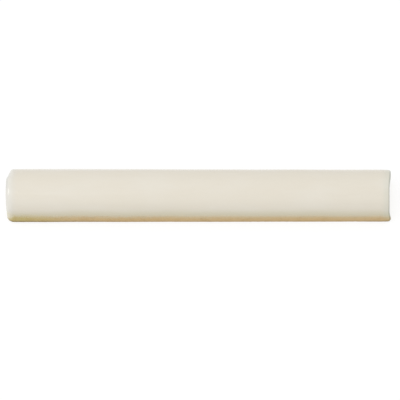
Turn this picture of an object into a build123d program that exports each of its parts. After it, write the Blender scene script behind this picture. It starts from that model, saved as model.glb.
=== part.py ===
"""Half-round liner tile: a glazed ceramic trim bar, set on its flat back between courses of wall tile.

One fired piece. A half-round crown stands on short straight sides, and one of its ends is rounded more
softly than the other. Glaze covers the crown and both ends and thins out down the straight sides, too
thin there to change their shape, so that the foot of the tile is bare clay. Blind keys pressed into the
back hold the mortar.

All sizes are in millimetres. The origin is the middle of the back, +X runs along the tile to its
squarer end, +Y across it and +Z out of the crown.
"""

import os

from build123d import *

# Outside of the tile
length = 152.0
width = 19.0
side_height = 6.0  # from the back up to where the half-round crown springs

# Rounded edges
soft_end_radius = 2.8  # round the end at -X, over the crown and down the upright corners
square_end_radius = 0.8  # the same at +X
back_edge_radius = 0.5  # round the rim of the back

# Mortar keys in the back
key_count = 2
key_width = 3.2
key_depth = 0.9
key_draft = 20.0  # degrees that the key's walls lean, so that the press die lets go
key_side_rim = 3.6  # clay from the outermost key to the tile's long side
key_end_rim = 6.0  # clay from a key's end to the tile's end

# What follows from the sizes above
crown_radius = width / 2
key_length = length - 2 * key_end_rim
key_pitch = (width - 2 * key_side_rim - key_width) / max(key_count - 1, 1)

with BuildPart() as liner_tile:
    # Section: the half-round crown on its straight sides, run the whole length
    with BuildSketch(Plane.YZ):
        with BuildLine():
            crown = CenterArc((0, side_height), crown_radius, 0, 180)
            Polyline(crown @ 1, (-crown_radius, 0), (crown_radius, 0), crown @ 0)
        make_face()
    extrude(amount=length / 2, both=True)

    # Both ends rounded over, all but their edge on the back
    soft_end = liner_tile.faces().sort_by(Axis.X)[0]
    fillet(soft_end.edges().sort_by(Axis.Z)[1:], soft_end_radius)
    square_end = liner_tile.faces().sort_by(Axis.X)[-1]
    fillet(square_end.edges().sort_by(Axis.Z)[1:], square_end_radius)

    # The rim of the back, eased all round
    back = liner_tile.faces().sort_by(Axis.Z)[0]
    fillet(back.edges(), back_edge_radius)

    # Keys pressed into the back, with drafted walls and round ends
    with BuildSketch(Plane.XY):
        with GridLocations(0, key_pitch, 1, key_count):
            SlotOverall(key_length, key_width)
    extrude(amount=key_depth, taper=key_draft, mode=Mode.SUBTRACT)

liner_tile.part.label = "liner_tile"

os.makedirs("parts", exist_ok=True)
export_step(liner_tile.part, "parts/liner_tile.step")
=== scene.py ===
"""The looks of the half-round liner tile, and the plain studio that it is shown in.

The tile is one mesh: closed rings that run round it, from the ridge of the crown down to the rim
of the back, and a grid that closes the back. Sizes are in millimetres until the mesh is made, in
metres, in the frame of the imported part: +X along the tile, +Y across it, +Z out of the crown. The
soft end is at -X, the square end at +X and the front at -Y.
"""

import math
from typing import NamedTuple

import bmesh
import bpy
import numpy as np
from mathutils import Matrix, Vector


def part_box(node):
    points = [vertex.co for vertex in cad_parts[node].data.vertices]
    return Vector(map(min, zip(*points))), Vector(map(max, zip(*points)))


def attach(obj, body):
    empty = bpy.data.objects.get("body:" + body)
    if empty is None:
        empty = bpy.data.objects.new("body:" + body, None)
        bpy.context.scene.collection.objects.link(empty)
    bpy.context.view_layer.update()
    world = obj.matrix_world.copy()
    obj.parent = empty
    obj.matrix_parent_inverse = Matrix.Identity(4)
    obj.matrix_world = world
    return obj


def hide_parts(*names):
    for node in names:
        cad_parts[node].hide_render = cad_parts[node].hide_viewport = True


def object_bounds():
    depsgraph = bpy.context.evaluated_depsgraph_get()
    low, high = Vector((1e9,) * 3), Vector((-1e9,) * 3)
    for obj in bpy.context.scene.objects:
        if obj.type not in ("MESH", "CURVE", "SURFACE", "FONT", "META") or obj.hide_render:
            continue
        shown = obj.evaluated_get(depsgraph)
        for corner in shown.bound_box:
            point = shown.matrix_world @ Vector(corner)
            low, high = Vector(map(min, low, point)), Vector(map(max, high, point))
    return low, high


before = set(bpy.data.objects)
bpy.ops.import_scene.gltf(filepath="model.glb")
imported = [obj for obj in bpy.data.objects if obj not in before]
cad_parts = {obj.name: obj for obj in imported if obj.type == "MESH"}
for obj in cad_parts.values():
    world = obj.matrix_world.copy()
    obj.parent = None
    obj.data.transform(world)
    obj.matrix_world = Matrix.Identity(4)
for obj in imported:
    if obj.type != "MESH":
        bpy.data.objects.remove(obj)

CAD_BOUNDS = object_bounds()
NODE = "liner_tile"
MM = 0.001
QUARTER = math.pi / 2
LOW, HIGH = (np.array(corner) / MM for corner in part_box(NODE))

# Outside of the tile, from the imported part
HALF_LENGTH = (HIGH[0] - LOW[0]) / 2
HALF_WIDTH = (HIGH[1] - LOW[1]) / 2
SIDE_HEIGHT = HIGH[2] - HALF_WIDTH

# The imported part's other sizes
SOFT_END_RADIUS = 2.8
SQUARE_END_RADIUS = 0.8
BACK_EDGE_RADIUS = 0.5
KEY_WIDTH = 3.2
KEY_DEPTH = 0.9
KEY_DRAFT = math.radians(20)
KEY_SIDE_RIM = 3.6
KEY_END_RIM = 6.0

# What drying and firing did to the section: its scale at the middle of the tile, the share that it
# grows by at the soft end and shrinks by at the square one, and the share that it shrinks by again
# over the last DROOP_REACH of the square end
MIDDLE_SCALE = 1.012
TAPER = 0.0125
DROOP, DROOP_REACH = 0.012, 3.0

# What they did to the last END_REACH of both ends. A slant is a place up a slope that rises by
# SLOPE towards the back: below 0 it is low down in front, and the highest are at the crown's back.
END_REACH = 6.5
SLOPE = math.radians(30)
FLARE = 0.11  # how far the square end's foot and its back upper edge stand out
HOLLOW_DEPTH = 0.42  # how deep the hollow between them is
HOLLOW_FOOT = (-7.0, -4.2)  # slants from where the hollow starts to where it is full
HOLLOW_TOP = (5.0, 10.8)  # slants from where it is full to where it has run out
FOOT_CUT = 0.3  # how far the bottom of that foot is drawn in again, over the last DROOP_REACH
FOOT_CUT_HEIGHT = 1.2  # up to where that goes
LEAN_DEPTH = 0.66  # how far the soft end's back upper edge is drawn in
LEAN_TOP = (8.6, 10.2)  # slants over which that grows
LEAN_BACK, LEAN_RIDGE = 0.8, (11.3, 12.6)  # share of it that is lost again, and slants over which

# Glaze is sprayed on from above: heights up to which the clay is bare, at which it is covered, and
# from which the glaze has its full thickness; below that its duller colour also paints in the shade
# of the steep sides. They wander up and down a little along the tile.
BARE_HEIGHT, COVERED_HEIGHT, FULL_HEIGHT = 1.9, 6.6, 9.9
WANDER_HEIGHT, WANDER_LENGTH = 0.12, 16.0

# How much further down the glaze reaches on the two ends, and how far from them that starts
SOFT_END_DROP, SOFT_END_START = 4.1, 3.4
SQUARE_END_DROP, SQUARE_END_START = 0.8, 4.5

# How far the stretch next to the soft end reaches, how much higher the glaze stops on it, how much
# nearer to that edge the glaze has its full thickness, and how much further off on the end itself.
# Where it is thinner its colour is duller and paints in shade.
SOFT_STRETCH = 40.0
SOFT_STRETCH_RISE, SOFT_STRETCH_DROP, SOFT_END_THINNING = 0.4, 1.0, 3.0

# Steps of the mesh
SIDE_STEPS = 352
CORNER_STEPS = 10
END_STEPS = 64
CROWN_STEPS = 40
WALL_STEPS = 22
RIM_STEPS = 5
BACK_COLUMNS, BACK_ROWS = SIDE_STEPS + CORNER_STEPS, END_STEPS + CORNER_STEPS
JOIN_DISTANCE = 1e-7  # metres within which two points are one

# Relief of the fired surface: heights and wavelengths, and the shares of its wavelength between
# which the waves of a relief are drawn
FLOW_HEIGHT, FLOW_LENGTH, FLOW_STRETCH = 0.03, 9.0, 0.3
SKIN_HEIGHT, SKIN_LENGTH = 0.004, 2.4
CLAY_DEPTH = 0.04
WARP_HEIGHT, WARP_LENGTH = 0.03, 30.0
SAND_HEIGHT, SAND_LENGTH = 0.02, 1.5
WAVE_SPREAD = (0.7, 1.6)

# Where the surface differs from place to place
SHEEN_REACH = 5.0  # from the soft end, over which the glaze is painted whiter as a highlight
MIST_REACH = 32.0  # from the soft end, over which the clay has a yellow mist of glaze
MIST_HEIGHT = 1.0  # above the back, over which that mist fades in
GREY_REACH, GREY_FULL = 4.0, 1.0  # from the square end, where grey starts and is full
# Painted shade on the ends: a dark line on the square end's edge, and the soft end's face high up
PALER_EDGE = 0.48  # share that the dark line on the square end's edge loses halfway up
PALER_FOOT = (-4.0, -1.5)  # slants over which it gets paler
PALER_TOP = (5.0, 9.0)  # slants over which it gets darker again
SOFT_EDGE = 0.3  # how dark the soft end's face is, as a share of that line
SOFT_EDGE_TURN = (math.radians(36), math.radians(52))  # turns over which that grows
SOFT_EDGE_SLANT = (2.5, 6.5)  # slants over which it grows
# A brown painted shade round the back's rim, where the tile sits on the floor
RIM_FULL, RIM_REACH = 0.25, 1.85  # from the back's edge, where the brown painted contact shade starts to fade and ends
RIM_STRENGTH = 0.28  # away from both ends
SOFT_RIM, SOFT_RIM_REACH = 0.45, 58.0  # what the soft end adds, and how far from it
SQUARE_RIM, SQUARE_RIM_REACH = 0.25, 20.0  # the same for the square end

# Patterns in the clay and the glaze: size of their patches, and depth of the clay's grit
DRIFT_SIZE, BLOTCH_SIZE, GRAIN_SIZE = 22.0, 3.5, 0.35
CLOUD_SIZE, CLOUD_STRETCH = 9.0, (0.35, 1, 1)
SPECK_SIZE = 0.5
GRIT_SIZE, GRIT_DEPTH = 0.3, 0.06

# What a pattern brings in: from which of its values to which, and how much at most
DRIFT_TONE = (0.3, 0.7, 0.3)
BLOTCH_TONE = (0.45, 0.75, 0.3)
LIGHT_GRAIN_TONE = (0.55, 0.75, 0.5)
DARK_GRAIN_TONE = (0.45, 0.25, 0.6)
CLOUD_TONE = (0.35, 0.7, 0.35)
SPECK_TONE = (0.3, 0.7, 0.5)

# Gloss: roughness of both materials, and the cover of glaze up to which it is the clay's
CLAY_ROUGHNESS, GLAZE_ROUGHNESS = 0.9, 0.16
ROUGH_COVER = 0.3

# Studio: places and sizes in metres, and power in watts
SKY_STRENGTH = 0.833
LAMPS = {
    "left": ((-1.14, -0.04, 0.37), 0.4, 2.2),
    "front": ((0.0, -1.21, 0.7), 0.9, 0.56),
    "corner": ((-0.64, -0.64, 1.07), 0.9, 1.65),
}
FLOOR_SIZE = 8.0
FLOOR_GAP = 0.00005  # between the floor and the tile's back, so that they don't share a plane
FLOOR_COLOUR = (0.6, 0.59, 0.56, 1.0)
FLOOR_SHADOW = 0.25
FLOOR_GLOW = 0.8

# Camera: in front and a little to the right, turned so that the tile's long edges are level
CAMERA_DISTANCE = 2.2
CAMERA_RISE = math.radians(60)
CAMERA_RIGHT = 0.035
CLIP_SPAN = 20  # how many times nearer and further than the tile the camera still sees
SENSOR = 36.0
PICTURE_PIXELS = 400
PIXELS_PER_MM = 2.527
TILE_MIDDLE = (198.3, 191.5)  # where the middle of the tile shows, in pixels


def srgb(red, green, blue):
    """A colour as it looks on a screen, 0 to 255, as the linear colour that a shader takes."""
    shares = (value / 255 for value in (red, green, blue))
    linear = (s / 12.92 if s <= 0.04045 else ((s + 0.055) / 1.055) ** 2.4 for s in shares)
    return (*linear, 1.0)


CREAM = srgb(234, 227, 212)
CREAM_WHITE = srgb(240, 236, 226)
# thin glaze low on the sides, darkened further by painted shade
CREAM_THIN_SHADED = srgb(224, 217, 192)
# a painted highlight: whiter glaze round the soft end
CREAM_SHEEN = srgb(230, 228, 221)
BUFF = srgb(220, 190, 140)
BUFF_LIGHT = srgb(230, 206, 164)
BUFF_DARK = srgb(192, 158, 106)
BUFF_YELLOW = srgb(202, 188, 119)
# painted contact shade round the back's rim
RIM_SHADE_BROWN = srgb(112, 92, 62)
WHITE = (1.0, 1.0, 1.0, 1.0)

# Shares of the colour that two shades leave: the dark line's, which is painted shade on the ends'
# edges, and the square end's grey
EDGE_SHADE = (0.66, 0.69, 0.70, 1.0)
END_SHADE = (0.95, 0.98, 0.98, 1.0)


class Ring(NamedTuple):
    """One closed loop round the tile, and which way its surface faces."""

    height: float
    half_width: float = HALF_WIDTH
    inset: float = 0.0  # how far the loop is drawn in all round
    rise: float = 0.0  # angle of the crown's surface: 0 where it springs, QUARTER at the ridge
    under: float = 0.0  # angle that the rim has turned under: 0 upright, QUARTER facing down


def tile_rings():
    """The crown, the straight side below it, and the rounded rim of the back, from the top down."""
    rings = []
    for rise in np.linspace(QUARTER, 0, CROWN_STEPS + 1):
        height = SIDE_HEIGHT + HALF_WIDTH * math.sin(rise)
        rings.append(Ring(height, HALF_WIDTH * math.cos(rise), rise=rise))
    for height in np.linspace(SIDE_HEIGHT, BACK_EDGE_RADIUS, WALL_STEPS + 1)[1:]:
        rings.append(Ring(height))
    for under in np.linspace(0, QUARTER, RIM_STEPS + 1)[1:]:
        height = BACK_EDGE_RADIUS * (1 - math.sin(under))
        rings.append(Ring(height, inset=BACK_EDGE_RADIUS * (1 - math.cos(under)), under=under))
    return rings


def plan_loop():
    """Each point of a ring: its place along the side, its turn at a corner, its place across."""
    along = np.linspace(-1, 1, SIDE_STEPS + 1)
    turn = np.linspace(0, QUARTER, CORNER_STEPS + 1)[1:-1]
    across = np.linspace(-1, 1, END_STEPS + 1)
    side, corner, end = np.zeros_like(along), np.ones_like(turn), np.ones_like(across)
    stretches = [
        (along, side, side - 1),
        (corner, turn, -corner),
        (end, end * QUARTER, across),
        (corner, turn[::-1], corner),
        (along[::-1], side, side + 1),
        (-corner, turn, corner),
        (-end, end * QUARTER, across[::-1]),
        (-corner, turn[::-1], -corner),
    ]
    return [np.concatenate(column) for column in zip(*stretches)]


def trace(ring, loop):
    """The ring's points and outward normals."""
    along, turn, across = loop
    end = np.where(along > 0, 1, -1)
    radius = np.where(end > 0, SQUARE_END_RADIUS, SOFT_END_RADIUS) - ring.inset
    start, stop = SOFT_END_RADIUS - HALF_LENGTH, HALF_LENGTH - SQUARE_END_RADIUS
    drop = radius * (1 - np.cos(turn))
    level, upright = math.cos(ring.rise), math.sin(ring.rise)
    x = start + (stop - start) * (along + 1) / 2 + end * radius * np.sin(turn)
    y = across * (ring.half_width - ring.inset - drop * level)
    z = ring.height - drop * upright
    facing = [end * np.sin(turn), np.sign(across) * np.cos(turn) * level, np.cos(turn) * upright]
    outward = np.stack(facing, axis=1) * math.cos(ring.under) - [0, 0, math.sin(ring.under)]
    return np.stack([x, y, z], axis=1), outward


def smooth(value, low, high):
    """A soft step from 0 at low to 1 at high."""
    share = np.clip((value - low) / (high - low), 0, 1)
    return share * share * (3 - 2 * share)


def between(value, rise, fall):
    """0 below the range rise, 1 between the two ranges, and 0 again above the range fall."""
    return smooth(value, *rise) * (1 - smooth(value, *fall))


def near_soft_end(points, reach):
    """0 further than reach from the soft end, rising to 1 on it."""
    return smooth(-points[..., 0], HALF_LENGTH - reach, HALF_LENGTH)


def near_square_end(points, reach):
    """0 further than reach from the square end, rising to 1 on it."""
    return smooth(points[..., 0], HALF_LENGTH - reach, HALF_LENGTH)


def slanted(points):
    """The slant of each point."""
    return points[..., 1] * math.cos(SLOPE) + points[..., 2] * math.sin(SLOPE)


def ripple(points, wavelength, seed, waves=9):
    """A smooth random relief of about -1 to 1 at each point, its bumps a wavelength apart."""
    draw = np.random.default_rng(seed)
    directions = draw.normal(size=(waves, 3))
    directions /= np.linalg.norm(directions, axis=1, keepdims=True)
    lengths = wavelength * draw.uniform(*WAVE_SPREAD, waves)
    phases = draw.uniform(0, 2 * math.pi, waves)
    turns = points @ (directions / lengths[:, None]).T * 2 * math.pi
    return np.sin(turns + phases).sum(axis=-1) / math.sqrt(waves)


def glaze_relief(points):
    """Height of the glaze over its even surface: slow waves along the tile, and a fine skin."""
    flow = FLOW_HEIGHT * ripple(points * [FLOW_STRETCH, 1, 1], FLOW_LENGTH, seed=3)
    skin = SKIN_HEIGHT * ripple(points, SKIN_LENGTH, seed=5)
    return flow + skin


def clay_relief(points):
    """Height of the bare clay, a little under the glaze's: a slow warp and coarse sand."""
    warp = WARP_HEIGHT * ripple(points, WARP_LENGTH, seed=11)
    sand = SAND_HEIGHT * ripple(points, SAND_LENGTH, seed=13, waves=16)
    return warp + sand - CLAY_DEPTH


def warped(points):
    """The points moved by what drying and firing did to the section and to the ends."""
    x, y, z = points[..., 0], points[..., 1], points[..., 2]
    slant = slanted(points)
    foot_cut = FOOT_CUT * (1 - smooth(z, 0, FOOT_CUT_HEIGHT))
    lean = LEAN_DEPTH * smooth(slant, *LEAN_TOP) * (1 - LEAN_BACK * smooth(slant, *LEAN_RIDGE))
    hollow = HOLLOW_DEPTH * between(slant, HOLLOW_FOOT, HOLLOW_TOP)
    moved = (FLARE - hollow) * near_square_end(points, END_REACH)
    moved -= foot_cut * near_square_end(points, DROOP_REACH)
    moved += lean * near_soft_end(points, END_REACH)
    scale = MIDDLE_SCALE - TAPER * x / HALF_LENGTH - DROOP * near_square_end(points, DROOP_REACH)
    return np.stack([x + moved, y * scale, z * scale], axis=-1)


def sprayed_height(points):
    """Height of each point as the glaze's spray counts it: higher on the ends, and wandering."""
    wander = WANDER_HEIGHT * ripple(points * [1, 1, 0], WANDER_LENGTH, seed=17)
    soft_end = SOFT_END_DROP * near_soft_end(points, SOFT_END_START)
    soft_end -= SOFT_STRETCH_RISE * near_soft_end(points, SOFT_STRETCH)
    square_end = SQUARE_END_DROP * near_square_end(points, SQUARE_END_START)
    return points[..., 2] + wander + soft_end + square_end


def edge_shade_share(points, loop):
    """How much painted shade darkens the ends: a line on the square end's edge, and the soft end's
    face high up.
    """
    along, turn, _ = loop
    slant = slanted(points)
    paler = 1 - PALER_EDGE * between(slant, PALER_FOOT, PALER_TOP)
    line = np.sin(2 * turn) ** 2 * (along > 0) * paler
    face = smooth(turn, *SOFT_EDGE_TURN) * (along < 0) * smooth(slant, *SOFT_EDGE_SLANT)
    return line + SOFT_EDGE * face


def rim_shade_share(points):
    """How much brown painted shade each point gets where the tile meets the floor: most on the
    back's rim, and more at both ends.
    """
    off_end = HALF_LENGTH - np.abs(points[..., 0])
    off_side = HALF_WIDTH - np.abs(points[..., 1])
    distance = np.maximum(points[..., 2], np.minimum(off_end, off_side))
    strength = RIM_STRENGTH + SOFT_RIM * near_soft_end(points, SOFT_RIM_REACH)
    strength += SQUARE_RIM * near_square_end(points, SQUARE_RIM_REACH)
    return strength * (1 - smooth(distance, RIM_FULL, RIM_REACH))


def ring_shares(points, loop, upright):
    """The shares that the material reads and that are 0 on the back, at each point of the rings."""
    sprayed = sprayed_height(points)
    thick = sprayed + SOFT_STRETCH_DROP * near_soft_end(points, SOFT_STRETCH)
    thick -= SOFT_END_THINNING * near_soft_end(points, SOFT_END_START)
    return {
        "glaze": smooth(sprayed, BARE_HEIGHT, COVERED_HEIGHT),
        "thin_and_shaded": 1 - smooth(thick, SIDE_HEIGHT, FULL_HEIGHT),
        "painted_edge_shade": upright * edge_shade_share(points, loop),
        "misted": near_soft_end(points, MIST_REACH) * smooth(points[..., 2], 0, MIST_HEIGHT),
    }


def key_share(points):
    """How far down a mortar key's wall each point of the back lies: 1 on its floor, 0 outside."""
    half_length = HALF_LENGTH - KEY_END_RIM - KEY_WIDTH / 2
    middle = HALF_WIDTH - KEY_SIDE_RIM - KEY_WIDTH / 2
    past_end = np.maximum(np.abs(points[..., 0]) - half_length, 0)
    off_middle = np.abs(points[..., 1]) - middle
    inside = KEY_WIDTH / 2 - np.hypot(past_end, off_middle)
    wall = KEY_DEPTH * math.tan(KEY_DRAFT)
    return smooth(inside, 0, wall)


def rim_order(around):
    """The last ring's points, from the middle of the front corner at -X."""
    return (np.arange(around) - CORNER_STEPS // 2) % around


def rim_sides(rim):
    """The front, right, back and left side of the last ring, each of them towards +X or +Y."""
    closed = np.concatenate([rim, rim[:1]])
    turns = np.cumsum([0, BACK_COLUMNS, BACK_ROWS, BACK_COLUMNS, BACK_ROWS])
    front, right, back, left = (closed[a : b + 1] for a, b in zip(turns, turns[1:]))
    return front, right, back[::-1], left[::-1]


def back_grid(rim):
    """The points of the back, in rows, spanned between the four sides of its rim."""
    front, right, back, left = rim_sides(rim)
    s = np.linspace(0, 1, BACK_COLUMNS + 1)[None, :, None]
    t = np.linspace(0, 1, BACK_ROWS + 1)[:, None, None]
    corners = (1 - t) * ((1 - s) * front[0] + s * front[-1])
    corners += t * ((1 - s) * back[0] + s * back[-1])
    return (1 - t) * front + t * back + (1 - s) * left[:, None] + s * right[:, None] - corners


def back_index(rim, inner_start):
    """Vertex numbers of the back's grid: its edge is the last ring's, and the rest are its own."""
    index = np.zeros((BACK_ROWS + 1, BACK_COLUMNS + 1), int)
    inner = index[1:-1, 1:-1]
    inner[:] = inner_start + np.arange(inner.size).reshape(inner.shape)
    index[0], index[:, -1], index[-1], index[:, 0] = rim_sides(rim)
    return index


def quads(index):
    """The faces between the rows and columns of a grid of vertex numbers."""
    corners = [index[:-1, :-1], index[1:, :-1], index[1:, 1:], index[:-1, 1:]]
    return np.stack(corners, axis=-1).reshape(-1, 4)


def build_tile():
    """The tile's mesh object, with its relief, and the shares that its material reads."""
    loop = plan_loop()
    rings = tile_rings()
    points, normals = (np.array(part) for part in zip(*(trace(ring, loop) for ring in rings)))
    upright = np.cos([ring.under for ring in rings])[:, None]
    shares = ring_shares(points, loop, upright)
    glaze = shares["glaze"]
    relief = upright * (glaze * glaze_relief(points) + (1 - glaze) * clay_relief(points))
    points += normals * relief[..., None]

    index = np.arange(glaze.size).reshape(glaze.shape)
    order = rim_order(index.shape[1])
    walls = quads(np.hstack([index, index[:, :1]]))
    back = quads(back_index(index[-1][order], index.size))

    grid = back_grid(points[-1][order])
    grid[..., 2] += KEY_DEPTH * key_share(grid)
    inner = grid[1:-1, 1:-1].reshape(-1, 3)
    bare = np.zeros(len(inner))
    vertices = np.concatenate([points.reshape(-1, 3), inner])
    shares = {name: np.concatenate([share.ravel(), bare]) for name, share in shares.items()}
    shares["painted_sheen"] = near_soft_end(vertices, SHEEN_REACH)
    shares["greyed"] = smooth(vertices[:, 0], HALF_LENGTH - GREY_REACH, HALF_LENGTH - GREY_FULL)
    shares["rim"] = rim_shade_share(vertices)
    faces = np.concatenate([walls, back])
    return mesh_object("liner_tile_body", warped(vertices) * MM, faces, shares)


def mesh_object(name, vertices, faces, shares):
    """A smooth mesh object, its doubled points joined, with each share's value at each point."""
    mesh = bpy.data.meshes.new(name)
    mesh.from_pydata(vertices.tolist(), [], faces.tolist())
    for share, values in shares.items():
        layer = mesh.attributes.new(share, "FLOAT", "POINT")
        layer.data.foreach_set("value", values.astype(np.float32))
    shell = bmesh.new()
    shell.from_mesh(mesh)
    bmesh.ops.remove_doubles(shell, verts=shell.verts, dist=JOIN_DISTANCE)
    shell.to_mesh(mesh)
    shell.free()
    mesh.shade_smooth()
    made = bpy.data.objects.new(name, mesh)
    bpy.context.scene.collection.objects.link(made)
    return made


def add(tree, kind, inputs=None, **settings):
    """A shader node with its settings; each input is a plain value or another node's output."""
    made = tree.nodes.new(kind)
    for name, value in settings.items():
        setattr(made, name, value)
    for name, value in (inputs or {}).items():
        if isinstance(value, bpy.types.NodeSocket):
            tree.links.new(value, made.inputs[name])
        else:
            made.inputs[name].default_value = value
    return made


def noise(tree, place, size, detail=2.0, stretch=(1, 1, 1)):
    """A cloudy pattern with patches about size millimetres apart, as a value from 0 to 1."""
    scale = tuple(share / (size * MM) for share in stretch)
    mapping = add(tree, "ShaderNodeMapping", {"Vector": place, "Scale": scale})
    texture = add(
        tree,
        "ShaderNodeTexNoise",
        {"Vector": mapping.outputs["Vector"], "Scale": 1.0, "Detail": detail},
    )
    return texture.outputs["Fac"]


def remap(tree, value, low, high, to_low, to_high):
    """value, taken smoothly from the range low to high to the range to_low to to_high."""
    made = add(
        tree,
        "ShaderNodeMapRange",
        {"Value": value, "From Min": low, "From Max": high, "To Min": to_low, "To Max": to_high},
        interpolation_type="SMOOTHSTEP",
    )
    return made.outputs["Result"]


def brought(tree, pattern, tone):
    """How much of a tone its pattern brings in."""
    low, high, most = tone
    return remap(tree, pattern, low, high, 0, most)


def combine(tree, operation, first, second):
    """Two values worked into one, such as their sum or product, kept between 0 and 1."""
    made = add(tree, "ShaderNodeMath", {0: first, 1: second}, operation=operation, use_clamp=True)
    return made.outputs["Value"]


def blend_colours(tree, share, first, second, blend_type="MIX"):
    """The first colour where share is 0, and the second, or the blend's result, where it is 1."""
    made = add(tree, "ShaderNodeMix", {"Factor": share}, data_type="RGBA", blend_type=blend_type)
    for socket, value in zip(made.inputs[6:8], (first, second)):
        if isinstance(value, bpy.types.NodeSocket):
            tree.links.new(value, socket)
        else:
            socket.default_value = value
    return made.outputs[2]


def attribute(tree, name):
    """A value that the mesh holds at each point."""
    return add(tree, "ShaderNodeAttribute", attribute_name=name).outputs["Fac"]


def clay_colour(tree, place):
    """Buff clay: slow drifts of tone, blotches, sand grains, and a browner rim round the back that
    is painted contact shade.
    """
    drift = noise(tree, place, DRIFT_SIZE)
    blotch = noise(tree, place, BLOTCH_SIZE, detail=4)
    grain = noise(tree, place, GRAIN_SIZE, detail=3)
    body = blend_colours(tree, attribute(tree, "misted"), BUFF, BUFF_YELLOW)
    body = blend_colours(tree, brought(tree, drift, DRIFT_TONE), body, BUFF_LIGHT)
    body = blend_colours(tree, brought(tree, blotch, BLOTCH_TONE), body, BUFF_DARK)
    body = blend_colours(tree, brought(tree, grain, LIGHT_GRAIN_TONE), body, BUFF_LIGHT)
    body = blend_colours(tree, brought(tree, grain, DARK_GRAIN_TONE), body, BUFF_DARK)
    # painted contact shade round the back's rim
    return blend_colours(tree, attribute(tree, "rim"), body, RIM_SHADE_BROWN)


def glaze_colour(tree, place):
    """Cream glaze with faint clouds, made whiter round the soft end by a painted highlight, and
    duller where it is thin low on the sides, which also paints in the shade that falls there.
    """
    cloud = noise(tree, place, CLOUD_SIZE, detail=3, stretch=CLOUD_STRETCH)
    body = blend_colours(tree, brought(tree, cloud, CLOUD_TONE), CREAM, CREAM_WHITE)
    # painted highlight round the soft end
    body = blend_colours(tree, attribute(tree, "painted_sheen"), body, CREAM_SHEEN)
    # duller where the glaze is thin, which also paints in the shade of the steep sides
    return blend_colours(tree, attribute(tree, "thin_and_shaded"), body, CREAM_THIN_SHADED)


def glaze_cover(tree, place):
    """How much glaze lies on the clay: where it thins out it breaks up into fine specks."""
    share = attribute(tree, "glaze")
    bare = combine(tree, "SUBTRACT", 1.0, share)
    half_covered = 0.5 * 0.5
    fading = combine(tree, "MULTIPLY", combine(tree, "MULTIPLY", share, bare), 1 / half_covered)
    specks = brought(tree, noise(tree, place, SPECK_SIZE, detail=4), SPECK_TONE)
    mean_speck = SPECK_TONE[-1] / 2
    thinner = combine(tree, "SUBTRACT", share, combine(tree, "MULTIPLY", fading, mean_speck))
    return combine(tree, "ADD", thinner, combine(tree, "MULTIPLY", fading, specks))


def fired_surface():
    """Glossy cream glaze over bare buff clay, by the share of glaze, with the square end's grey and
    the painted shade on the ends' edges.
    """
    material = bpy.data.materials.new("glazed_clay")
    material.use_nodes = True
    tree = material.node_tree
    tree.nodes.clear()
    place = add(tree, "ShaderNodeTexCoord").outputs["Object"]
    cover = glaze_cover(tree, place)
    bare = combine(tree, "SUBTRACT", 1.0, cover)
    colour = blend_colours(tree, cover, clay_colour(tree, place), glaze_colour(tree, place))
    colour = blend_colours(tree, attribute(tree, "greyed"), colour, END_SHADE, "MULTIPLY")
    # painted shade on the ends' edges
    colour = blend_colours(tree, attribute(tree, "painted_edge_shade"), colour, EDGE_SHADE, "MULTIPLY")
    roughness = remap(tree, cover, ROUGH_COVER, 1, CLAY_ROUGHNESS, GLAZE_ROUGHNESS)
    grit = combine(tree, "MULTIPLY", noise(tree, place, GRIT_SIZE, detail=4), bare)
    bump = add(
        tree,
        "ShaderNodeBump",
        {"Height": grit, "Strength": 1.0, "Distance": GRIT_DEPTH * MM},
    )
    shader = add(
        tree,
        "ShaderNodeBsdfPrincipled",
        {"Base Color": colour, "Roughness": roughness, "Normal": bump.outputs["Normal"]},
    )
    add(tree, "ShaderNodeOutputMaterial", {"Surface": shader.outputs["BSDF"]})
    return material


def is_shown(tree):
    """1 for a ray from the camera, or passed on by a mirror or glass, and 0 for one of light."""
    path = add(tree, "ShaderNodeLightPath").outputs
    seen = combine(tree, "MAXIMUM", path["Is Camera Ray"], path["Is Glossy Ray"])
    return combine(tree, "MAXIMUM", seen, path["Is Transmission Ray"])


def make_world():
    """An even soft sky, seen as plain white."""
    world = bpy.data.worlds.new("studio")
    world.use_nodes = True
    tree = world.node_tree
    tree.nodes.clear()
    strength = remap(tree, is_shown(tree), 0, 1, SKY_STRENGTH, 1.0)
    sky = add(tree, "ShaderNodeBackground", {"Color": WHITE, "Strength": strength})
    add(tree, "ShaderNodeOutputWorld", {"Surface": sky.outputs["Background"]})
    bpy.context.scene.world = world


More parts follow.
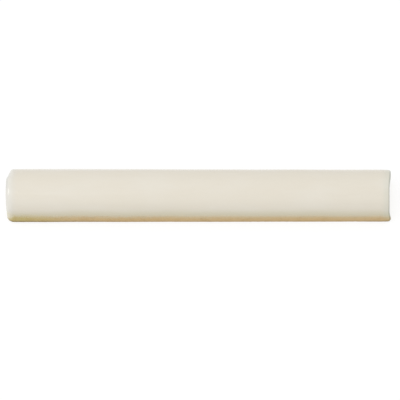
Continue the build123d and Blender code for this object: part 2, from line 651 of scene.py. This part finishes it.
def make_floor():
    """A pale floor that shows as white and keeps a part of the tile's shadow."""
    mesh = bpy.data.meshes.new("floor")
    reach = FLOOR_SIZE / 2
    corners = [(-reach, -reach), (reach, -reach), (reach, reach), (-reach, reach)]
    mesh.from_pydata([(x, y, -FLOOR_GAP) for x, y in corners], [], [(0, 1, 2, 3)])
    floor = bpy.data.objects.new("floor", mesh)
    bpy.context.scene.collection.objects.link(floor)

    material = bpy.data.materials.new("pale_floor")
    material.use_nodes = True
    tree = material.node_tree
    tree.nodes.clear()
    lit = add(tree, "ShaderNodeBsdfDiffuse", {"Color": FLOOR_COLOUR})
    shadow = add(tree, "ShaderNodeBsdfDiffuse", {"Color": (FLOOR_SHADOW,) * 3 + (1.0,)})
    glow = add(tree, "ShaderNodeEmission", {"Color": WHITE, "Strength": FLOOR_GLOW})
    seen = add(
        tree,
        "ShaderNodeAddShader",
        {0: shadow.outputs["BSDF"], 1: glow.outputs["Emission"]},
    )
    surface = add(
        tree,
        "ShaderNodeMixShader",
        {0: is_shown(tree), 1: lit.outputs["BSDF"], 2: seen.outputs["Shader"]},
    )
    add(tree, "ShaderNodeOutputMaterial", {"Surface": surface.outputs["Shader"]})
    mesh.materials.append(material)


def softbox(name, place, size, power):
    """A square soft lamp that faces the tile."""
    light = bpy.data.lights.new(name, "AREA")
    light.size = size
    light.energy = power
    lamp = bpy.data.objects.new(name, light)
    lamp.location = place
    lamp.rotation_euler = (-Vector(place)).to_track_quat("-Z", "Y").to_euler()
    bpy.context.scene.collection.objects.link(lamp)


def make_camera():
    """The camera of the photograph's view."""
    back = Vector((CAMERA_RIGHT, -math.cos(CAMERA_RISE), math.sin(CAMERA_RISE))).normalized()
    along = Vector((1, 0, 0))
    right = (along - along.dot(back) * back).normalized()
    up = back.cross(right)
    shown = PICTURE_PIXELS / PIXELS_PER_MM * MM
    pixel = shown / PICTURE_PIXELS
    half_picture = PICTURE_PIXELS / 2
    middle = (CAD_BOUNDS[0] + CAD_BOUNDS[1]) / 2
    aim = middle + right * (half_picture - TILE_MIDDLE[0]) * pixel
    aim -= up * (half_picture - TILE_MIDDLE[1]) * pixel

    data = bpy.data.cameras.new("camera")
    data.sensor_width = SENSOR
    data.lens = SENSOR * CAMERA_DISTANCE / shown
    data.clip_start, data.clip_end = CAMERA_DISTANCE / CLIP_SPAN, CAMERA_DISTANCE * CLIP_SPAN
    camera = bpy.data.objects.new("camera", data)
    turned = Matrix((right, up, back)).transposed().to_4x4()
    camera.matrix_world = Matrix.Translation(aim + back * CAMERA_DISTANCE) @ turned
    bpy.context.scene.collection.objects.link(camera)
    bpy.context.scene.camera = camera


tile = build_tile()
tile.data.materials.append(fired_surface())
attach(tile, "root")
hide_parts(NODE)

make_world()
make_floor()
for lamp_name, (lamp_place, lamp_size, lamp_power) in LAMPS.items():
    softbox(lamp_name, lamp_place, lamp_size, lamp_power)
make_camera()
bpy.context.scene.view_settings.view_transform = "Standard"
